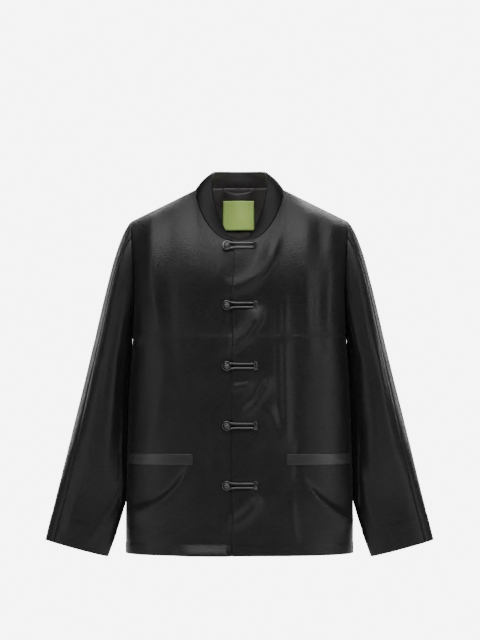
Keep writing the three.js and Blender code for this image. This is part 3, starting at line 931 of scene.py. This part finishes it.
def addLabel():
    settings = labelSettings
    cells, hem = settings["cells"], settings["hem"]
    bm, places, uvLayer = gridPiece(
        lambda x, level: surfaceAt(x, level, 1), cells, cells,
        bentRuler([(0, settings["left"]), (1, settings["right"])]),
        bentRuler([(0, settings["bottom"]), (1, settings["top"])]),
        lambda co, u, v: backDepth["label"] - 0.5 * (1 - min(u, 1 - u, v, 1 - v, hem) / hem))
    piece = finishCloth("neck_label_cloth", bm, places, uvLayer, (64, 61), settings, (limeWeave,))
    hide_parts("neck_label")
    bm = bmesh.new()
    margin = settings["margin"]
    left, right = settings["left"] + margin, settings["right"] - margin
    low, high = settings["bottom"] + margin, settings["top"] - margin
    corners = [(left, low), (right, low), (right, high), (left, high), (left, low)]
    for (x0, z0), (x1, z1) in zip(corners, corners[1:]):
        edge = [backInside(x0 + (x1 - x0) * i / 6, z0 + (z1 - z0) * i / 6, backDepth["label"] + 0.1)
                for i in range(7)]
        addStitches(bm, edge, settings["stitchPitch"], settings["stitchSize"])
    joinMesh("neck_label_stitches", bm, greenThread, None)


def addHangerLoop():
    settings = loopSettings
    points = []
    for i in range(9):
        along = i / 4 - 1
        x = settings["left"] + (settings["right"] - settings["left"]) * i / 8
        slack = 1 - along * along
        point = surfaceAt(x, settings["level"] - settings["sag"] * slack, 1)
        point.y -= backDepth["loop"] + settings["bow"] * slack
        points.append(point)
    bm = bmesh.new()
    for lift in (-1, 0, 1):
        raised = [point + Vector((0, 0, lift * settings["height"] / 2)) for point in points]
        sweepCord(bm, smoothRoute(raised, 4), settings["radius"], 8)
    joinMesh("hanger_loop_ribbon", bm, lining, "hanger_loop")


addLining()
addLabel()
addHangerLoop()
print("neck inside ready")

# frog fastenings

frogSettings = {
    "cordRadius": 2.0,
    "cordSpread": 4.3,
    "eyeX": -24.5,
    "eyeRadius": 8,
    "eyeNeckX": -16,
    "cordEndX": 28,
    "stand": -0.8,
}
tabSettings = {
    "width": 7.0,
    "height": 17.0,
    "thickness": 3.2,
    "gap": 0.3,
    "lift": 0.6,
    "bevel": 1.3,
    "stitchInset": 0.28,
    "stitchReach": 0.4,
    "stitchPitch": 1.9,
    "stitchSize": 0.55,
}
knotSettings = {
    "radius": 5.0,
    "lift": 5.6,
    "strandRadius": 1.9,
    "turns": 3,
    "bights": 4,
    "climb": 0.95,
    "crossing": 0.45,
    "steps": 120,
}


def leftFace(x, level, lift):
    settings = frogSettings
    point = surfaceAt(max(x, -overlap["reach"]), level, -1)
    shiftOverlap(point, 2, 1)
    return Vector((x, point.y - lift - settings["stand"], level))


def frogRoute(level, spread, eyeRadius, lift):
    settings = frogSettings
    flat = []
    for i in range(5):
        flat.append((settings["cordEndX"] + (settings["eyeNeckX"] - settings["cordEndX"]) * i / 5, spread))
    for i in range(9):
        turn = math.radians(45 + 270 * i / 8)
        flat.append((settings["eyeX"] + eyeRadius * math.cos(turn), eyeRadius * math.sin(turn)))
    for i in range(1, 6):
        flat.append((settings["eyeNeckX"] + (settings["cordEndX"] - settings["eyeNeckX"]) * i / 5, -spread))
    return smoothRoute([leftFace(x, level + rise, lift) for x, rise in flat], 3)


def addFrogCord(index, level):
    settings = frogSettings
    radius = settings["cordRadius"]
    bm = bmesh.new()
    sweepCord(bm, frogRoute(level, settings["cordSpread"], settings["eyeRadius"], radius), radius, 12)
    joinMesh(f"frog_cord_{index}", bm, cordSatinPaintedHighlight, f"frog_loop_{index}")


def addFrogTab(index, level):
    # the cord's two ends are sewn down under a small tab
    settings = tabSettings
    width, height, thickness = settings["width"], settings["height"], settings["thickness"]
    x = frogSettings["cordEndX"] + settings["gap"] + width / 2
    middle = leftFace(x, level, thickness / 2 + settings["lift"])
    place = Matrix.Translation(middle) @ Matrix.Diagonal((width, thickness, height, 1))
    bm = bmesh.new()
    bmesh.ops.create_cube(bm, size=1, matrix=place)
    bmesh.ops.bevel(bm, geom=bm.edges[:], offset=settings["bevel"], offset_type="OFFSET", segments=3,
                    profile=0.5, affect="EDGES", material=-1)
    front = middle.y - thickness / 2 - 0.05
    reach = height * settings["stitchReach"]
    for way in (-1, 1):
        x = middle.x + way * width * settings["stitchInset"]
        ends = [Vector((x, front, level - reach)), Vector((x, front, level + reach))]
        addStitches(bm, ends, settings["stitchPitch"], settings["stitchSize"])
    joinMesh(f"frog_end_{index}", bm, cordSatinPaintedHighlight, f"frog_tab_{index}")


def addFrogKnot(index, level):
    # one closed strand that passes over and under itself round a ball
    settings = knotSettings
    radius, steps = settings["radius"], settings["steps"]
    x = frogSettings["eyeX"]
    y = surfaceAt(x, level, -1).y - settings["lift"] - frogSettings["stand"]
    centre = Vector((x, y, level))
    bm = bmesh.new()
    bmesh.ops.create_icosphere(bm, subdivisions=3, radius=radius, matrix=Matrix.Translation(centre))
    path = []
    for i in range(steps):
        t = 2 * math.pi * i / steps
        climb = settings["climb"] * math.sin(settings["bights"] * t)
        around = settings["turns"] * t
        reach = radius + settings["crossing"] * math.cos(2 * settings["bights"] * t + math.pi / 2)
        path.append(centre + Vector((
            reach * math.sin(climb),
            -reach * math.cos(climb) * math.cos(around),
            reach * math.cos(climb) * math.sin(around),
        )))
    sweepCord(bm, path, settings["strandRadius"], 8, closed=True)
    joinMesh(f"frog_button_{index}", bm, cordSatinPaintedHighlight, f"frog_knot_{index}")


for index, level in enumerate(frontSettings["frogLevels"], 1):
    addFrogCord(index, level)
    addFrogTab(index, level)
    addFrogKnot(index, level)
print("frogs ready")

# pocket welts

weltSettings = {
    "bottom": -545,
    "top": -523,
    "first": 1.0,
    "last": 1.78,
    "length": 127,
    "thickness": 1.3,
    "lift": 1.9,
    "edgeFall": 0.7,
    "seamRise": 3.2,
    "seamDip": 0.5,
    "swell": 0.7,
}


def addWelt(side):
    settings = weltSettings
    half = "left" if side > 0 else "right"

    height = settings["top"] - settings["bottom"]
    length = settings["length"]

    def shape(co, u, v):
        edge = min(u * length, (1 - u) * length, v * height, (1 - v) * height)
        seam = settings["seamDip"] * math.exp(-((v * height - settings["seamRise"]) / 0.8) ** 2)
        rounding = math.sin(math.pi * min(max(v, 0), 1))
        swell = settings["swell"] * rounding * noise.noise(Vector((u * 3 + side, v, 5)))
        return settings["lift"] - settings["edgeFall"] * (1 - smoothStep(edge, 0, 1.6)) - seam + swell

    rise = bentRuler([(0, settings["bottom"]), (1, settings["top"])])
    bm, places, uvLayer = gridPiece(
        lambda across, level: frontPoint(across, (level - hemLevel) / (underarmLevel - hemLevel), side),
        120, 24, bentRuler([(0, settings["first"]), (1, settings["last"])]), rise, shape, side)
    piece = finishCloth(
        f"pocket_welt_{half}_cloth", bm, places, uvLayer, (128, 22), settings, (weltSatinPaintedSheen,))
    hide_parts(f"pocket_welt_{half}")


for side in (1, -1):
    addWelt(side)
print("pockets ready")

# stage, camera and lights

stageSettings = {
    "floorSize": 12,
    "floorMiddle": (0, 4, -1.05),
    "backdrop": 7.0,
    "ambient": 0.14,
}
lightRows = table(
    "name location target size power",
    ("front top", (-0.2, -1.8, 2.3), (0, 0, -0.25), (3.2, 1.2), 145),
    ("overhead", (0, -0.1, 2.0), (0, 0, -0.2), (2.6, 1.4), 45),
    ("left strip", (-2.6, -2.3, 0.1), (0, 0, -0.3), (0.8, 2.2), 32),
    ("right strip", (2.7, -2.3, 0.2), (0, 0, -0.3), (0.9, 2.2), 52),
    ("back top", (0.3, 2.4, 2.0), (0, 0, -0.3), (3.0, 1.3), 110),
    ("back left", (-2.4, 2.2, 0.1), (0, 0, -0.3), (0.7, 2.0), 26),
    ("back right", (2.4, 2.2, 0.1), (0, 0, -0.3), (0.7, 2.0), 26),
)
cameraSettings = {"location": (0.001, -5.0, -0.26), "lens": 140.6, "sensor": 36}


def splitForCamera(tree, lit, seen, output):
    # the camera sees the bright backdrop, and everything else gets the other light
    path = addNode(tree, "ShaderNodeLightPath")
    mix = addNode(tree, "ShaderNodeMixShader")
    tree.links.new(path.outputs["Is Camera Ray"], mix.inputs[0])
    tree.links.new(lit.outputs[0], mix.inputs[1])
    tree.links.new(seen.outputs[0], mix.inputs[2])
    tree.links.new(mix.outputs[0], tree.nodes[output].inputs[0])


def addFloor():
    bm = bmesh.new()
    bmesh.ops.create_grid(bm, x_segments=2, y_segments=2, size=stageSettings["floorSize"])
    bmesh.ops.translate(bm, vec=stageSettings["floorMiddle"], verts=bm.verts)
    mesh = bpy.data.meshes.new("floor")
    bm.to_mesh(mesh)
    bm.free()
    floor = bpy.data.objects.new("floor", mesh)
    bpy.context.scene.collection.objects.link(floor)
    pale = bpy.data.materials.new("pale floor")
    pale.use_nodes = True
    tree = pale.node_tree
    shader = tree.nodes["Principled BSDF"]
    shader.inputs["Base Color"].default_value = (0.9, 0.9, 0.9, 1)
    shader.inputs["Roughness"].default_value = 0.9
    seen = addNode(tree, "ShaderNodeEmission")
    seen.inputs["Strength"].default_value = stageSettings["backdrop"]
    splitForCamera(tree, shader, seen, "Material Output")
    mesh.materials.append(pale)


def addLight(name, location, target, size, power):
    lamp = bpy.data.lights.new(name, "AREA")
    lamp.shape = "RECTANGLE"
    lamp.size, lamp.size_y = size
    lamp.energy = power
    light = bpy.data.objects.new(name, lamp)
    bpy.context.scene.collection.objects.link(light)
    light.location = location
    light.rotation_euler = (Vector(target) - Vector(location)).to_track_quat("-Z", "Y").to_euler()


def addWorld():
    world = bpy.data.worlds.new("studio")
    world.use_nodes = True
    tree = world.node_tree
    ambient = tree.nodes["Background"]
    backdrop = addNode(tree, "ShaderNodeBackground")
    for shader, strength in ((ambient, stageSettings["ambient"]), (backdrop, stageSettings["backdrop"])):
        shader.inputs[0].default_value = (1, 1, 1, 1)
        shader.inputs[1].default_value = strength
    splitForCamera(tree, ambient, backdrop, "World Output")
    bpy.context.scene.world = world


def addCamera():
    lens = bpy.data.cameras.new("camera")
    lens.lens = cameraSettings["lens"]
    lens.sensor_width = cameraSettings["sensor"]
    camera = bpy.data.objects.new("camera", lens)
    bpy.context.scene.collection.objects.link(camera)
    camera.location = cameraSettings["location"]
    camera.rotation_euler = (math.radians(90), 0, 0)
    bpy.context.scene.camera = camera


addFloor()
for row in lightRows:
    addLight(**row)
addWorld()
addCamera()
print("stage ready")
